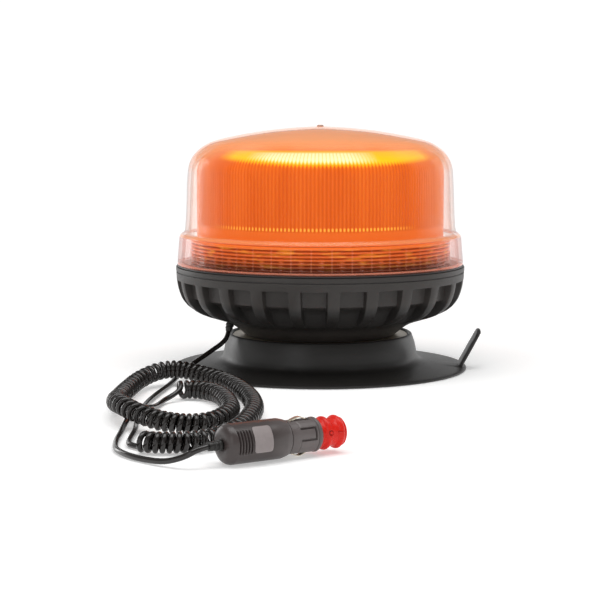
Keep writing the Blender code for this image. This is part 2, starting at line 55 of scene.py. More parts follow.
# Lamp head, mm
DOME_WALL = 2.5
FLANGE_TOP = 98.6
NUB_FOOT = 176.0
INNER_R = 89.6               # of the amber lens's upright wall
INNER_WALL = 2.2
FLUTES = 206
FLUTE_DEPTH = 0.35
FLUTE_FOOT = 105.6
PAINTED_LIGHT_RISE = (149.4, 152.6)   # heights between which the painted yellow light on its shoulder starts
PAINTED_LIGHT_FALL = (159.0, 160.6)   # and ends
HIGHLIGHT_RISE = (152.0, 154.2)   # the same, of the painted white highlight in it
HIGHLIGHT_FALL = (158.2, 159.4)
PAINTED_LIGHT_TURN = -84.5            # middle of the painted light's front stretch on the shoulder, degrees from +X
HIGHLIGHT_TURN = -95.5            # middle of the painted white highlight
PRISM_TOP = 94.8
PRISM_FOOT = 77.2
PRISM_RIBS = 42
BOWL_RIBS = 24
RIB_PHASE = 4.6              # degrees that the front rib lies right of -Y

# Tab, mm and degrees
TAB_AZIMUTH = -4.0
TAB_ROOT = (102.6, 3.3)      # radius and height of its flex line
TAB_LENGTH = 29.0
TAB_WIDTH = 17.0
TAB_THICK = 2.9
TAB_LEAN = 28.5
TAB_TWIST = 5.0              # of the strip about its own length

# Plug, mm and degrees, along its axis from its rear end
PLUG_REAR = (-57.0, -369.0, 11.2)
PLUG_YAW = 34.0
PLUG_BODY_R = 11.2
PLUG_NOSE_R = 9.5
PLUG_STEP = 40.0
PLUG_NOSE_END = 61.0
PLUG_TIP = 78.0
MARK_AT = 66.4               # middle of the ring moulded in the red sleeve
MARK_TURN = 82.0             # how far it lies from up, round the plug
PAD_TURN = 74.0              # the same for the middle of the grey pad,
GRIP_TURN = 78.0             # of the grip grooves,
TONGUE_TURN = 76.0           # and of the tongue cut free in the nose

# Cord, mm
WIRE_R = 1.7
HELIX_R = 4.6                # of the wire's centre line, in the curls
CURL_PITCH = 3.8
FIRST_SPIN = -0.28           # of a turn from level: the lead runs in under the curls
LAST_SPIN = 0.375            # the tail comes off them high up, on the near side
DRAWN_OUT = 1.0              # share added to the pitch where the curls run from front to back
GLAND_BASE = (-64.8, -24.3, 35.4)
GLAND_TIP = (-66.2, -26.4, 29.6)
LEAD_ROUTE = [
    GLAND_TIP, (-67.5, -28.6, 24.9), (-71.2, -31.4, 21.0), (-76.8, -35.4, 17.4), (-83.7, -42, 13.2),
    (-91.2, -52, 9.2), (-97, -64, 6.0), (-101, -80, 3.0), (-104.5, -103, 1.8), (-109, -136, 1.8),
    (-112.5, -168, 1.8), (-114, -202, 1.8), (-113.5, -238, 1.8), (-111.8, -270, 1.8),
    (-112, -294, 1.8), (-112, -306, 1.8), (-111.4, -314, 1.8),
]
CURL_ROUTE = [
    (-103, -332.1, 6.4), (-93, -335.5, 6.4), (-76, -333, 6.4), (-61, -319, 6.4),
    (-50.5, -291, 6.4), (-45, -255, 6.4), (-43, -220, 6.4), (-46.5, -181, 6.4),
    (-55, -142, 6.4), (-67, -110, 6.6), (-81, -95, 8.2), (-97, -89, 11.0), (-111, -93, 10.4),
    (-122, -112, 7.8), (-127.5, -145, 6.4), (-129.5, -180, 6.8), (-128.5, -215, 9.6),
    (-122.5, -244, 12.4), (-110.5, -264, 10.6), (-96, -274, 7.8), (-82, -277, 6.6),
    (-69, -271, 6.4), (-61, -253, 6.4), (-57.5, -226, 6.4), (-60.5, -196, 6.4),
    (-66.5, -170, 6.4), (-76, -152.5, 6.4), (-86, -147.2, 6.4), (-93.5, -149.4, 6.4),
]
TAIL_ROUTE = [
    (-102.6, -167, 2.2), (-105, -180, 1.8),
    (-107, -195, 2.8), (-109.5, -208, 4.8), (-113.5, -221, 5.6), (-117.8, -236, 4.6),
    (-119.5, -255, 2.2), (-119.5, -281, 1.8), (-119.5, -306, 1.8), (-117, -330, 1.8),
    (-109, -348, 1.8), (-98, -361, 1.8), (-87, -370.5, 2.8), (-77, -376.5, 6.2),
    (-70, -377.2, 9.8), (-64.4, -374.0, 11.2),
]

# Setting, metres and degrees
CAMERA_PLACE = (-0.0147, -1.3461, 0.19635)
CAMERA_DIP = 6.24            # below level
GROUND = -0.0004
COVE_R = 9.0
COVE_WALL = 0.8
COVE_GLOW = 0.25             # reach from the middle at which the floor starts to brighten


# ---- materials -------------------------------------------------------------------------------

class Finish:
    """A material whose nodes are laid round its Principled shader, in object coordinates."""

    def __init__(self, name, **constants):
        self.material = bpy.data.materials.new(name)
        self.material.use_nodes = True
        self.tree = self.material.node_tree
        self.shader = self.tree.nodes["Principled BSDF"]
        self.place = self.add("ShaderNodeTexCoord").outputs["Object"]
        for key, value in constants.items():
            self.shader.inputs[key.replace("_", " ")].default_value = value

    def add(self, kind, settings=None, **sockets):
        """A node; a socket's value may be a number, a colour or another node's output."""
        node = self.tree.nodes.new(kind)
        for key, value in (settings or {}).items():
            setattr(node, key, value)
        for key, value in sockets.items():
            self.feed(node.inputs[key.replace("_", " ")], value)
        return node

    def feed(self, socket, value):
        if isinstance(value, bpy.types.NodeSocket):
            self.tree.links.new(value, socket)
        elif socket.type == "RGBA":
            socket.default_value = (*value, 1.0)
        else:
            socket.default_value = value

    def drive(self, **sockets):
        for key, value in sockets.items():
            self.feed(self.shader.inputs[key.replace("_", " ")], value)

    def noise(self, grain, detail=2.0, stretch=(1, 1, 1)):
        """Noise whose features are about grain millimetres across, 0 to 1."""
        place = self.place
        if stretch != (1, 1, 1):
            place = self.add("ShaderNodeMapping", Vector=place, Scale=stretch).outputs[0]
        return self.add("ShaderNodeTexNoise", Vector=place, Scale=1 / (grain * MM), Detail=detail).outputs[0]

    def math(self, operation, one, two=0.0):
        node = self.add("ShaderNodeMath", {"operation": operation})
        self.feed(node.inputs[0], one)
        self.feed(node.inputs[1], two)
        return node.outputs[0]

    def span(self, value, start, end, low=0.0, high=1.0):
        """low to high as value goes from start to end, and held beyond them."""
        node = self.add("ShaderNodeMapRange")
        for socket, given in zip(node.inputs, (value, start, end, low, high)):
            self.feed(socket, given)
        return node.outputs[0]

    def blend(self, factor, one, two):
        node = self.add("ShaderNodeMix", {"data_type": "RGBA"})
        self.feed(node.inputs[0], factor)
        self.feed(node.inputs[6], one)
        self.feed(node.inputs[7], two)
        return node.outputs[2]

    def axes(self):
        """The object coordinates one by one, in metres."""
        return self.add("ShaderNodeSeparateXYZ", Vector=self.place).outputs

    def bump(self, height, depth):
        """Relief of that depth in millimetres where height goes from 0 to 1."""
        node = self.add("ShaderNodeBump", Height=height, Strength=1.0, Distance=depth * MM)
        self.drive(Normal=node.outputs[0])

    def band(self, value, low, high, soft):
        """1 where value lies between low and high, all in metres."""
        rise = self.span(value, low - soft, low + soft)
        fall = self.span(value, high - soft, high + soft, 1.0, 0.0)
        return self.math("MULTIPLY", rise, fall)

    def diagonal(self, one, two):
        """Length of the diagonal of a rectangle with those two sides."""
        squares = [self.math("MULTIPLY", side, side) for side in (one, two)]
        return self.math("SQRT", self.math("ADD", *squares))


def plain_grain(name, dark, light, rough, grain, depth, patches=25.0, **constants):
    """A moulded or cast surface: patchy colour, and grain in its relief and its gloss."""
    made = Finish(name, **constants)
    fine = made.noise(grain, 3.0)
    made.drive(Base_Color=made.blend(made.noise(patches, 3.0), dark, light),
               Roughness=made.span(fine, 0.3, 0.7, rough[0], rough[1]))
    made.bump(fine, depth)
    return made.material


def casting_finish():
    """Black powder coat with a fine grain, with painted shade under the bowl's belly."""
    made = Finish("cast_black", Specular_IOR_Level=0.35)
    fine = made.noise(0.9, 3.0)
    coat = made.blend(made.noise(25.0, 3.0), (0.027, 0.0235, 0.0215), (0.042, 0.037, 0.034))
    # painted shade: the bowl's lower part, ribs and slots alike, is darkened where it turns away from the
    # light
    belly_painted_shade = made.band(made.axes()[2], 0.0350, 0.0530, 0.0018)
    coat = made.blend(made.math("MULTIPLY", belly_painted_shade, 0.72), coat, (0.008, 0.0075, 0.007))
    made.drive(Base_Color=coat, Roughness=made.span(fine, 0.3, 0.7, 0.38, 0.54))
    made.bump(fine, 0.05)
    return made.material


def rubber_finish():
    return plain_grain("rubber_black", (0.011, 0.010, 0.0092), (0.019, 0.0174, 0.016), (0.34, 0.48), 0.6,
                       0.03, 18.0, Specular_IOR_Level=0.42)


def handle_finish():
    """Brown-black plastic with a fine grain, greyer and paler towards the nose as a painted highlight for the
    light the nose catches.
    """
    made = Finish("handle_plastic", Specular_IOR_Level=0.5)
    fine = made.noise(0.45, 3.0)
    patches = made.noise(9.0, 3.0)
    rear = made.blend(patches, (0.036, 0.027, 0.026), (0.060, 0.046, 0.044))
    # painted highlight: the nose is made paler to stand for the light it catches
    nose = made.blend(patches, (0.095, 0.080, 0.078), (0.145, 0.124, 0.121))
    made.drive(Base_Color=made.blend(made.span(made.axes()[2], 0.026, 0.046), rear, nose),
               Roughness=made.span(fine, 0.3, 0.7, 0.28, 0.42))
    made.bump(fine, 0.02)
    return made.material


def pad_finish():
    return plain_grain("pad_plastic", (0.23, 0.195, 0.193), (0.33, 0.29, 0.285), (0.45, 0.62), 0.7, 0.05,
                       5.0)


def red_finish():
    """Glossy red, with painted shade in the moulded ring on the side with the pad."""
    made = Finish("red_plastic", Specular_IOR_Level=0.28)
    fine = made.noise(0.5, 3.0)
    body = made.blend(made.noise(7.0, 3.0), (0.62, 0.010, 0.006), (0.80, 0.022, 0.010))
    x, y, z = made.axes()
    turn = made.math("SUBTRACT", made.math("ARCTAN2", y, x), math.radians(MARK_TURN))
    across = made.math("MULTIPLY", turn, PLUG_NOSE_R * MM)
    along = made.math("SUBTRACT", z, MARK_AT * MM)
    away = made.diagonal(across, along)
    # painted shade: the moulded ring's groove is darkened
    ring = made.math("MULTIPLY", made.band(away, 0.0011, 0.0017, 0.0002), 0.8)
    made.drive(Base_Color=made.blend(ring, body, (0.20, 0.004, 0.003)),
               Roughness=made.span(fine, 0.3, 0.7, 0.24, 0.34))
    made.bump(fine, 0.01)
    return made.material


def jacket_finish():
    return plain_grain("cord_jacket", (0.008, 0.0062, 0.0055), (0.014, 0.011, 0.0095), (0.14, 0.22), 0.5,
                       0.006, 12.0, Specular_IOR_Level=0.55)


def metal(name, dark, light, rough, stretch=(1, 1, 1)):
    """A metal with fine marks along its brushing, or round spots where it isn't brushed."""
    made = Finish(name, Metallic=1.0)
    marks = made.noise(0.35, 4.0, stretch)
    made.drive(Base_Color=made.blend(made.noise(6.0, 4.0), dark, light),
               Roughness=made.span(marks, 0.25, 0.75, rough[0], rough[1]))
    made.bump(marks, 0.006)
    return made.material


def board_finish():
    """Green solder resist with copper tracks showing through it, paler."""
    made = Finish("circuit_board")
    cells = made.add("ShaderNodeTexVoronoi", {"feature": "DISTANCE_TO_EDGE"}, Vector=made.place, Scale=160.0)
    track = made.span(cells.outputs[0], 0.06, 0.10, 1.0, 0.0)
    made.drive(Base_Color=made.blend(track, (0.012, 0.11, 0.045), (0.05, 0.26, 0.10)),
               Roughness=made.span(made.noise(1.2), 0.3, 0.7, 0.25, 0.4))
    made.bump(track, 0.03)
    return made.material


def phosphor_finish():
    """Yellow phosphor under clear resin, with a fine speckle."""
    made = Finish("led_phosphor", Roughness=0.2, Coat_Weight=0.6)
    speckle = made.noise(0.25, 3.0)
    made.drive(Base_Color=made.blend(speckle, (0.86, 0.50, 0.04), (0.95, 0.78, 0.22)))
    made.bump(speckle, 0.02)
    return made.material


def fuse_finish():
    """Glass tube, greyed a little by its wire and its filling."""
    made = Finish("fuse_glass", Roughness=0.06, Transmission_Weight=0.7)
    made.drive(Base_Color=made.blend(made.noise(1.5, 3.0), (0.72, 0.78, 0.78), (0.92, 0.95, 0.95)))
    return made.material


def amber_finish():
    """Amber lens, glowing by emission as painted light through the amber: painted yellow light on its
    shoulder at front and back with a painted white highlight in it, painted glint dots at the flutes' foot,
    and a crown made paler as painted glare.
    """
    # painted light: the lens glows by emission in its body colour, standing in for light coming through the
    # amber
    made = Finish("amber_lens", Roughness=0.25, Specular_IOR_Level=0.08, Emission_Strength=0.30)
    x, y, z = made.axes()
    turn = made.math("ARCTAN2", y, x)
    ridge = made.span(made.math("SINE", made.math("MULTIPLY", turn, float(FLUTES))), -1.0, 1.0)
    streaks = made.span(made.noise(12.0, 3.0, (1, 1, 0.1)), 0.35, 0.65)
    body = made.blend(ridge, made.blend(streaks, (0.60, 0.082, 0.005), (0.66, 0.100, 0.007)),
                      made.blend(streaks, (0.68, 0.112, 0.009), (0.74, 0.140, 0.014)))
    flute_foot = FLUTE_FOOT * MM
    plain_foot = made.span(z, flute_foot - 0.0014, flute_foot, 0.85, 0.0)
    body = made.blend(plain_foot, body, (0.76, 0.140, 0.016))
    # painted glare: the crown is made paler peach
    crown = made.span(z, 0.1565, 0.1630)
    body = made.blend(crown, body, (0.80, 0.23, 0.050))

    def facing(middle):
        """1 in that direction and the opposite one, -1 at its sides."""
        doubled = made.math("MULTIPLY", made.math("SUBTRACT", turn, math.radians(middle)), 2.0)
        return made.math("COSINE", doubled)

    # painted glints: yellow dots on the flute ridges just above the flutes' foot, facing front and back
    painted_glint_dots = made.math("MULTIPLY", made.band(z, flute_foot, flute_foot + 0.0020, 0.0004),
                     made.span(ridge, 0.35, 0.8))
    painted_glint_dots = made.math("MULTIPLY", painted_glint_dots, made.span(facing(HIGHLIGHT_TURN), -0.3, 0.3))
    body = made.blend(painted_glint_dots, body, (1.0, 0.44, 0.050))
    narrowing = made.span(facing(PAINTED_LIGHT_TURN), -0.5, 0.9, 0.0040, 0.0)
    dripping = made.math("ADD", z, made.span(ridge, 0.2, 0.8, 0.0, 0.0012))
    dripping = made.math("SUBTRACT", dripping, narrowing)

    def belt(rise, fall):
        """1 on the shoulder between those heights, its lower edge ragged with the flutes."""
        return made.math("MULTIPLY", made.span(dripping, rise[0] * MM, rise[1] * MM),
                         made.span(z, fall[0] * MM, fall[1] * MM, 1.0, 0.0))

    # painted light: yellow on the shoulder, at front and back
    painted_shoulder_light = made.math("MULTIPLY", belt(PAINTED_LIGHT_RISE, PAINTED_LIGHT_FALL), made.span(facing(PAINTED_LIGHT_TURN), -0.66, -0.25))
    body = made.blend(painted_shoulder_light, body, (0.95, 0.48, 0.005))
    # painted highlight: a white patch in the shoulder's painted light, at front and back, broken up by the
    # flutes
    painted_white_highlight = made.math("MULTIPLY", belt(HIGHLIGHT_RISE, HIGHLIGHT_FALL), made.span(facing(HIGHLIGHT_TURN), 0.40, 0.80))
    painted_white_highlight = made.math("MULTIPLY", painted_white_highlight, made.span(ridge, 0.0, 0.5, 0.45, 0.85))
    body = made.blend(painted_white_highlight, body, (1.0, 0.82, 0.50))
    made.drive(Base_Color=body, Emission_Color=body)
    made.bump(made.noise(5.0, 2.0), 0.05)
    return made.material


def prism_finish():
    """Amber prisms, glowing a little by emission as painted light: painted shade dark red-brown in their
    roots and low down, painted glints, fine upright lines all round painted as highlights on the rib crests,
    and a painted highlight on the top edge.
    """
    made = Finish("amber_prisms", Roughness=0.18, Specular_IOR_Level=0.3, Emission_Strength=0.16)
    x, y, z = made.axes()
    # painted shade: dark red-brown in the roots between the prisms' steps
    outer = made.span(made.diagonal(x, y), 0.0930, 0.0945)
    body = made.blend(outer, (0.22, 0.026, 0.006), (0.76, 0.135, 0.020))
    glints = made.span(made.noise(16.0, 2.0, (1, 1, 7)), 0.54, 0.68, 0.0, 0.55)
    body = made.blend(glints, body, (0.95, 0.38, 0.035))
    # painted shade, darker towards the bottom
    body = made.blend(made.span(z, 0.0790, 0.0872, 0.88, 0.0), body, (0.070, 0.013, 0.006))
    # painted highlights: pale upright lines on the rib crests
    ribs = made.math("COSINE", made.math("MULTIPLY", made.math("ARCTAN2", y, x), float(PRISM_RIBS)))
    body = made.blend(made.span(ribs, 0.955, 0.99, 0.0, 0.18), body, (0.95, 0.36, 0.20))
    # painted highlight along the top edge
    body = made.blend(made.span(z, 0.0930, 0.0944), body, (0.85, 0.21, 0.035))
    made.drive(Base_Color=body, Emission_Color=body)
    made.bump(made.noise(1.5, 2.0), 0.04)
    return made.material


def clear_finish():
    """Clear polycarbonate with a painted amber reflection of the lens inside: hardly there face on, tinted
    where met at a slant.
    """
    made = Finish("clear_dome", Roughness=0.05, Specular_IOR_Level=0.4)
    z = made.axes()[2]
    slant = made.add("ShaderNodeLayerWeight", Blend=0.5).outputs["Facing"]
    flange = made.span(z, (FLANGE_TOP - 1.0) * MM, FLANGE_TOP * MM, 1.0, 0.0)
    flange_side = made.math("MULTIPLY", flange, made.span(slant, 0.45, 0.8))
    foot_line = made.band(z, 0.0770, 0.0781, 0.0003)
    # painted highlight on the flange's rounded top
    painted_rim_highlight = made.band(z, 0.0966, 0.0990, 0.0005)
    shoulder = made.math("MULTIPLY", made.span(z, 0.1420, 0.1540), made.span(slant, 0.50, 0.80))
    crown = made.span(z, 0.159, 0.167)
    nub = made.span(z, NUB_FOOT * MM, (NUB_FOOT + 0.3) * MM)
    outline = made.span(made.math("SUBTRACT", slant, made.math("MULTIPLY", crown, 0.13)), 0.77, 0.92)
    edge = made.blend(flange, (0.30, 0.20, 0.17), (0.45, 0.13, 0.11))
    # painted reflection: the dome is tinted amber by the lens inside, patchily, more on the flange, crown and
    # shoulder
    reflection_patches = made.span(made.noise(22.0, 3.0, (1, 1, 0.08)), 0.38, 0.62)
    amber_reflection_tint = made.blend(reflection_patches, (0.90, 0.41, 0.20), (0.98, 0.60, 0.38))
    for part, colour in ((flange, (0.92, 0.34, 0.24)), (crown, (0.97, 0.42, 0.14)), (outline, edge),
                         (foot_line, (0.95, 0.30, 0.18)), (painted_rim_highlight, (0.96, 0.38, 0.15)),
                         (nub, (0.10, 0.08, 0.08)), (shoulder, (0.97, 0.40, 0.15))):
        amber_reflection_tint = made.blend(part, amber_reflection_tint, colour)
    cover = made.span(slant, 0.30, 0.80, 0.006, 0.24)
    for part, share in ((outline, 0.36), (crown, 0.24), (foot_line, 0.40), (painted_rim_highlight, 0.30), (nub, 0.50),
                        (shoulder, 0.30), (flange_side, 0.10)):
        cover = made.math("ADD", cover, made.math("MULTIPLY", part, share))
    made.drive(Base_Color=amber_reflection_tint, Alpha=cover)
    return made.material


# A finish for each of the record's material slots.
FINISH = {
    "clear_polycarbonate": clear_finish(),
    "amber_polycarbonate": amber_finish(),
    "black_casting": casting_finish(),
    "black_rubber": rubber_finish(),
    "zinc_plate": metal("zinc_plate", (0.50, 0.44, 0.35), (0.68, 0.61, 0.50), (0.30, 0.50)),
    "steel": metal("bright_steel", (0.48, 0.48, 0.50), (0.62, 0.62, 0.63), (0.22, 0.40)),
    "magnet_ferrite": metal("ferrite", (0.04, 0.04, 0.045), (0.08, 0.08, 0.085), (0.5, 0.7)),
    "aluminium": metal("aluminium", (0.70, 0.71, 0.72), (0.82, 0.83, 0.84), (0.25, 0.45), (1, 12, 1)),
    "bright_reflector": metal("reflector", (0.86, 0.86, 0.86), (0.95, 0.95, 0.95), (0.03, 0.10)),
    "circuit_board": board_finish(),
    "led_yellow": phosphor_finish(),
    "plug_plastic": handle_finish(),
    "pad_grey": pad_finish(),
    "red_plastic": red_finish(),
    "spring_brass": metal("nickel_brass", (0.60, 0.54, 0.42), (0.78, 0.72, 0.60), (0.18, 0.34)),
    "fuse_glass": fuse_finish(),
    "cord_jacket": jacket_finish(),
}


# ---- shapes ----------------------------------------------------------------------------------

def arc(centre, radius, start, end, count):
    """Points on an arc in the outline plane, angles in degrees from +R towards +Z."""
    angles = [math.radians(start + (end - start) * i / (count - 1)) for i in range(count)]
    return [(centre[0] + radius * math.cos(a), centre[1] + radius * math.sin(a)) for a in angles]


def smooth_path(route, spacing):
    """Points at an even spacing along a Catmull-Rom curve through the route's points."""
    points = np.array(route, dtype=float)
    points = np.vstack([2 * points[0] - points[1], points, 2 * points[-1] - points[-2]])
    fine = []
    for a, b, c, d in zip(points, points[1:], points[2:], points[3:]):
        for t in np.linspace(0.0, 1.0, 24, endpoint=False):
            fine.append(0.5 * (2 * b + (c - a) * t + (2 * a - 5 * b + 4 * c - d) * t ** 2
                               + (3 * b - a - 3 * c + d) * t ** 3))
    fine.append(points[-2])
    fine = np.array(fine)
    travelled = np.concatenate([[0.0], np.cumsum(np.linalg.norm(np.diff(fine, axis=0), axis=1))])
    stops = np.linspace(0.0, travelled[-1], max(2, round(travelled[-1] / spacing)) + 1)
    return np.stack([np.interp(stops, travelled, fine[:, axis]) for axis in range(fine.shape[1])], axis=1)


def eased(outline, radius, steps=3):
    """A closed outline whose corners are rounded off, each within a third of its edges."""
    points = [Vector(p) for p in outline]
    made = []
    for before, corner, after in zip(points[-1:] + points[:-1], points, points[1:] + points[:1]):
        into, out = before - corner, after - corner
        on_axis = corner.x < 1e-6
        if on_axis or abs(into.angle(out) - math.pi) < 0.2:
            made.append(tuple(corner))
            continue
        reach = min(radius, into.length / 3, out.length / 3)
        start, end = corner + into.normalized() * reach, corner + out.normalized() * reach
        for step in range(steps + 1):
            t = step / steps
            made.append(tuple(start * (1 - t) ** 2 + corner * 2 * t * (1 - t) + end * t * t))
    return made


def inset_outline(outline, wall):
    """The outline moved square to itself by wall, in reverse order, so that both close a shell."""
    moved = []
    for index, (r, z) in enumerate(outline):
        before, after = outline[max(index - 1, 0)], outline[min(index + 1, len(outline) - 1)]
        along = (Vector(after) - Vector(before)).normalized()
        moved.append((max(r - along.y * wall, 0.0) if r > 0 else 0.0, z + along.x * wall))
    return moved[::-1]


def add_piece(name, slot, verts, faces, nodes, body="root", place=None, sharp=32.0):
    """A piece of the object: a clean mesh that rides on its body and stands for its CAD nodes."""
    mesh = bpy.data.meshes.new(name)
    mesh.from_pydata([tuple(v) for v in verts], [], faces)
    work = bmesh.new()
    work.from_mesh(mesh)
    bmesh.ops.recalc_face_normals(work, faces=work.faces)
    work.to_mesh(mesh)
    work.free()
    mesh.shade_smooth()
    mesh.set_sharp_from_angle(angle=math.radians(sharp))
    piece = bpy.data.objects.new(name, mesh)
    bpy.context.scene.collection.objects.link(piece)
    if place is not None:
        piece.matrix_world = place
    mesh.materials.append(FINISH[slot])
    if body:
        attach(piece, body)
    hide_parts(*nodes)
    return piece


def turned(name, slot, outline, nodes, turns=192, shape=None, **how):
    """A closed body turned round Z from a closed outline in (r, z) mm.

    turns is a count or a list of angles; shape(index, r, z, angle) may move an outline's point.
    """
    angles = np.linspace(0.0, TAU, turns, endpoint=False) if isinstance(turns, int) else turns
    verts, rings = [], []
    for index, (r, z) in enumerate(outline):
        if r < 1e-6:
            rings.append([len(verts)] * len(angles))
            verts.append((0.0, 0.0, z * MM))
            continue
        rings.append(range(len(verts), len(verts) + len(angles)))
        for angle in angles:
            reach, height = shape(index, r, z, angle) if shape else (r, z)
            verts.append((reach * math.cos(angle) * MM, reach * math.sin(angle) * MM, height * MM))
    faces = []
    for low, high in zip(rings, list(rings[1:]) + rings[:1]):
        for one in range(len(angles)):
            two = (one + 1) % len(angles)
            corners = dict.fromkeys((low[one], low[two], high[two], high[one]))
            if len(corners) > 2:
                faces.append(tuple(corners))
    return add_piece(name, slot, verts, faces, nodes, **how)


def swept_faces(count, section):
    """Faces of a capped strip with count vertices, in rings of section each."""
    faces = [tuple(range(section))[::-1], tuple(range(count - section, count))]
    for low in range(0, count - section, section):
        for one in range(section):
            two = (one + 1) % section
            faces.append((low + one, low + two, low + section + two, low + section + one))
    return faces


def boxy(turn, power):
    """A point at that angle on a circle of radius 1 pushed out towards a square, more so with power."""
    out, side = math.cos(turn), math.sin(turn)
    push = (abs(out) ** power + abs(side) ** power) ** (-1 / power)
    return out * push, side * push


def window(value, low, high, soft):
    """1 between low and high, falling to 0 over soft outside them."""
    outside = max(low - value, value - high, 0.0)
    return max(0.0, 1.0 - outside / soft)


def around(angle, middle):
    """Degrees from the direction middle, which is in degrees, to angle, which is in radians."""
    return (math.degrees(angle) - middle + 180.0) % 360.0 - 180.0


# ---- lamp head -------------------------------------------------------------------------------

def clear_dome():
    """Clear dome: wider foot flange, upright wall, round shoulder, shallow crown, small nub."""
    flange = [(104.0, 76.5), (103.8, 82.0), (103.2, 88.0), (102.6, 95.6), (102.1, 97.2), (101.0, 98.4),
              (99.6, 99.2), (98.8, 100.4), (98.3, 102.6)]
    above = smooth_path([(97.6, 112.0), (97.1, 125.0), (96.5, 139.0), (95.2, 148.6), (91.2, 156.1),
                         (84.4, 161.9), (76.0, 165.8), (60.0, 169.5), (40.0, 172.8), (20.0, 174.9),
                         (8.0, 175.6)], 3.0)
    nub = [(2.6, 175.9), (2.2, 176.6), (1.4, 176.9), (0.0, 176.9)]
    outside = flange + [tuple(point) for point in above]
    inside = inset_outline(outside + [(0.0, NUB_FOOT)], DOME_WALL)
    turned("clear_dome", "clear_polycarbonate", outside + nub + inside, ["outer_lens"])


def amber_lens():
    """Amber lens: plain foot, upright flutes that fade over the shoulder, crown close to the dome."""
    shoulder_r, shoulder_z = 15.0, 143.5
    plain_foot = [(INNER_R, z) for z in (95.1, 99.0, FLUTE_FOOT - 0.2)]
    wall = [(INNER_R, z) for z in (106.0, 107.0, 120.0, 135.0, shoulder_z)]
    shoulder = arc((INNER_R - shoulder_r, shoulder_z), shoulder_r, 8.0, 66.0, 9)
    crown = [(77.6, 159.4), (74.0, 161.3), (67.0, 164.2), (59.0, 166.2), (47.0, 168.4), (35.0, 170.2),
             (20.0, 171.7), (8.0, 172.3), (0.0, 172.4)]
    outside = plain_foot + wall + shoulder + crown
    depths = [0.0, 0.0, 0.0, 0.5] + [1.0] * 8 + [0.8, 0.55, 0.35, 0.2, 0.1]

    def fluted(index, r, z, angle):
        depth = depths[index] if index < len(depths) else 0.0
        return r - FLUTE_DEPTH * depth * (1 - abs(math.sin(FLUTES * angle / 2))), z

    turned("amber_lens", "amber_polycarbonate", outside + inset_outline(outside, INNER_WALL), ["inner_lens"],
           FLUTES * 6, fluted)


def prism_band():
    """Amber ring behind the flange: stepped prisms, and upright ribs round its lower half."""
    steps = 7
    rise = (PRISM_TOP - PRISM_FOOT) / steps
    outline = [(87.1, PRISM_TOP), (92.0, PRISM_TOP), (93.9, PRISM_TOP - 0.6)]
    for step in range(steps):
        top = PRISM_TOP - rise * step
        outline += [(94.5, top - 0.35 * rise), (94.6, top - 0.62 * rise), (93.1, top - rise)]
    outline += [(87.1, PRISM_FOOT)]
    soft = eased(outline, 0.4, 2)

    def ribbed(index, r, z, angle):
        rib = window((angle * PRISM_RIBS / TAU) % 1.0, 0.44, 0.56, 0.11)
        lift = 0.9 * rib * window(z, 78.5, 85.5, 2.0) * window(r, 92.9, 96.0, 0.5)
        return min(r + lift, 94.7), z

    ring = turned("prism_band", "amber_polycarbonate", soft, ["prism_ring"], PRISM_RIBS * 18, ribbed)
    ring.data.materials[0] = prism_finish()


def seam_gasket():
    outline = eased([(94.6, 75.2), (104.2, 75.2), (104.2, 76.2), (94.6, 76.2)], 0.3)
    turned("seam_gasket", "black_rubber", outline, ["lens_gasket"])


def ribbed_bowl():
    """Cast bowl: rim band over a groove, plain band, ribs with slots between them, flared neck."""
    rim = [(95.0, 74.9), (104.4, 74.9), (104.9, 74.7), (105.0, 74.3), (104.95, 71.9), (104.7, 71.6),
           (104.0, 71.5), (104.0, 71.0), (104.6, 70.9), (104.8, 70.6), (104.6, 66.2)]
    ribs = [((104.5, 65.6), (104.3, 65.5)), ((104.4, 64.9), (99.2, 65.3)), ((104.3, 64.0), (98.6, 64.8)),
            ((103.9, 61.6), (98.4, 62.0)), ((103.4, 59.2), (98.1, 59.4)), ((102.6, 56.4), (97.8, 56.6)),
            ((101.8, 54.3), (97.6, 54.6)), ((101.0, 52.3), (97.2, 54.1)), ((99.3, 49.6), (94.0, 53.0)),
            ((96.8, 46.6), (91.0, 51.4)), ((93.3, 43.9), (88.0, 47.8)), ((89.3, 41.7), (85.2, 43.7)),
            ((85.3, 40.1), (83.0, 41.0))]
    foot = [(81.2, 38.9), (74.8, 36.9), (70.4, 35.5), (66.6, 33.8), (63.2, 31.8), (60.2, 29.7), (57.5, 27.4),
            (55.4, 25.6), (54.9, 25.1)]
    inside = [(5.3, 25.1), (5.3, 29.5), (48.0, 29.5), (80.0, 44.0), (93.4, 60.0)]
    # Each row is the outline's point on a rib, and its point in the slot between two ribs.
    rows = [(p, p) for p in rim] + ribs + [(p, p) for p in foot + inside]
    # Degrees from a rib's middle, and how much of the rib is left there.
    side = [(2.10, 1.0), (2.36, 0.95), (2.50, 0.75), (2.62, 0.30), (2.76, 0.05), (3.1, 0.0), (5.2, 0.0)]
    angles, weights = [], {}
    for index in range(BOWL_RIBS):
        middle = -90.0 + RIB_PHASE + index * 360.0 / BOWL_RIBS
        across = [(-degrees, weight) for degrees, weight in side[::-1]] + [(0.0, 1.0)] + side + [(7.5, 0.0)]
        for degrees, weight in across:
            angle = math.radians(middle + degrees)
            angles.append(angle)
            weights[angle] = weight

    def ribbed(index, r, z, angle):
        rib, slot = rows[index]
        weight = weights[angle]
        return slot[0] + weight * (rib[0] - slot[0]), slot[1] + weight * (rib[1] - slot[1])

    turned("ribbed_bowl", "black_casting", [rib for rib, slot in rows], ["housing"], angles, ribbed)


